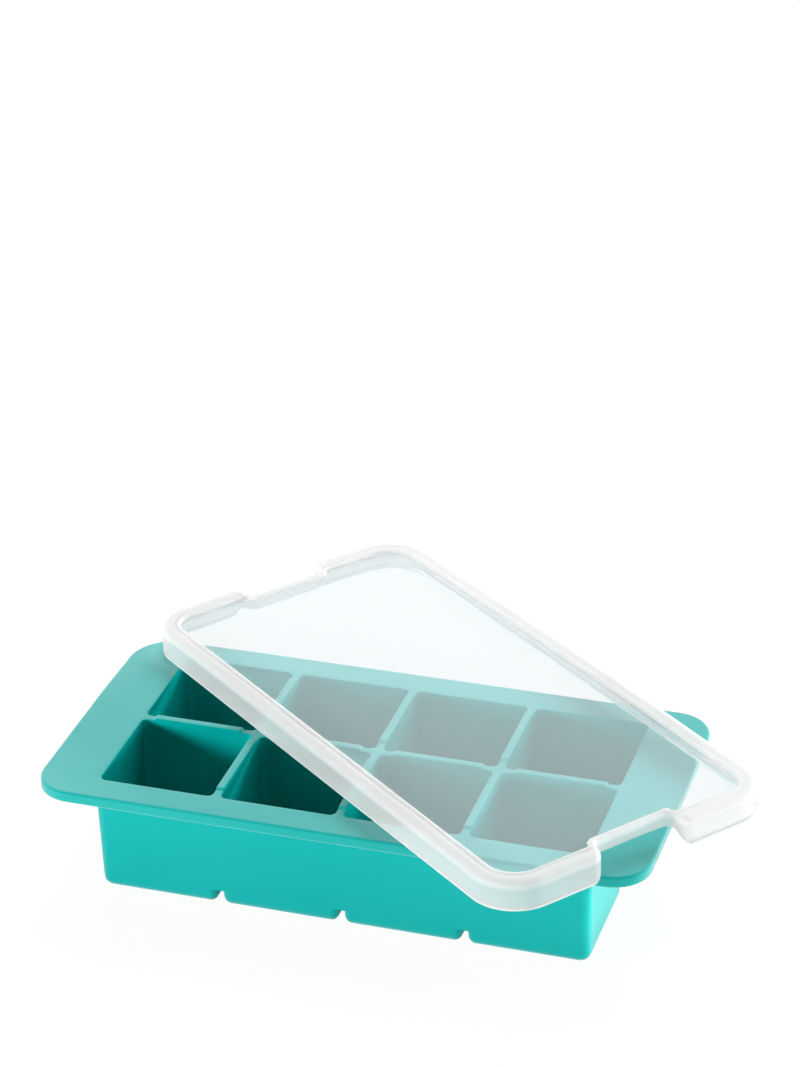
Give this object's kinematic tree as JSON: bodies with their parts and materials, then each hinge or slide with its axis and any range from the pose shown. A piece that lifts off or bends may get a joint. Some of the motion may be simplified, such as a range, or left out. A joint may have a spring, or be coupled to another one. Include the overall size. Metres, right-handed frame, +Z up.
{
  "type": "silicone ice cube tray with lid",
  "caption": "Silicone ice cube tray with deep square cells in two rows, a flat rim and a frosted clear lid laid askew across it.",
  "frame": {"origin": "middle of the footprint of the tray and lid together, on the table plane the tray stands on", "axes": "+Z up, +X along the tray's four columns, -Y towards the viewer of the picture"},
  "size_m": [0.268, 0.2336, 0.0612],
  "materials": {
    "silicone": "satin",
    "clear_plastic": "frosted"
  },
  "bodies": {
    "root": {"tray": "silicone", "lid": "clear_plastic"}
  },
  "joints": []
}
